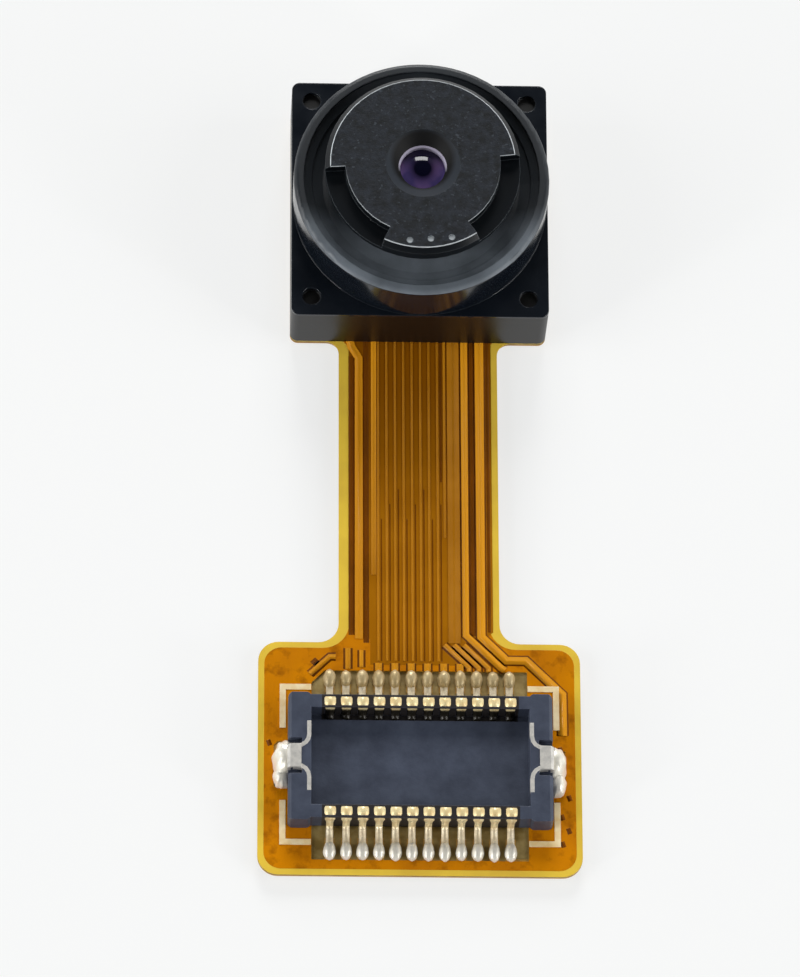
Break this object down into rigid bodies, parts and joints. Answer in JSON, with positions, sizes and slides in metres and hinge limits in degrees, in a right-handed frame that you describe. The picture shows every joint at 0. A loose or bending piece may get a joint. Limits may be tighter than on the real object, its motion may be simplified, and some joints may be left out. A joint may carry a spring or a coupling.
{
  "type": "camera module",
  "caption": "Fixed-focus camera module: square lens holder with a round collar and notched barrel, on a flexible circuit that ends in a board-to-board connector.",
  "frame": {"origin": "where the optical axis meets the underside of the stiffener behind the sensor", "axes": "+Y along the flexible circuit from the connector towards the lens, +Z along the optical axis towards what the lens sees, +X across the circuit"},
  "size_m": [0.0078, 0.0205, 0.004],
  "materials": {
    "polyimide_film": "amber translucent polyimide film, satin",
    "copper": "etched copper, gold-plated where it is bare",
    "stiffener": "matte laminate plate",
    "marking_ink": "cream printed ink",
    "connector_plastic": "satin navy-black moulding",
    "contact_metal": "gold-plated spring strip",
    "nail_metal": "tinned spring strip",
    "solder": "bright reflowed solder",
    "holder_plastic": "glossy black moulding",
    "barrel_plastic": "spark-textured matte black moulding",
    "lens_plastic": "clear coated lens plastic",
    "shield_film": "matte black light shield",
    "filter_glass": "coated filter glass",
    "silicon": "polished silicon die",
    "capacitor_body": "ceramic chip with tinned ends"
  },
  "bodies": {
    "root": {"sensor_stiffener": "stiffener", "connector_stiffener": "stiffener", "rear_coverlay": "polyimide_film", "ground_copper": "copper", "base_film": "polyimide_film", "front_copper": "copper", "front_coverlay": "polyimide_film", "corner_marks": "marking_ink", "connector_housing": "connector_plastic", "inner_contacts": "contact_metal", "outer_contacts": "contact_metal", "left_hold_down": "nail_metal", "right_hold_down": "nail_metal", "contact_solder": "solder", "hold_down_solder": "solder", "lens_holder": "holder_plastic", "lens_barrel": "barrel_plastic", "front_lens": "lens_plastic", "middle_lens": "lens_plastic", "rear_lens": "lens_plastic", "front_spacer": "shield_film", "rear_spacer": "shield_film", "barrel_retainer": "shield_film", "ir_filter": "filter_glass", "image_sensor": "silicon", "bond_wires": "contact_metal", "chip_capacitors": "capacitor_body"}
  },
  "joints": []
}
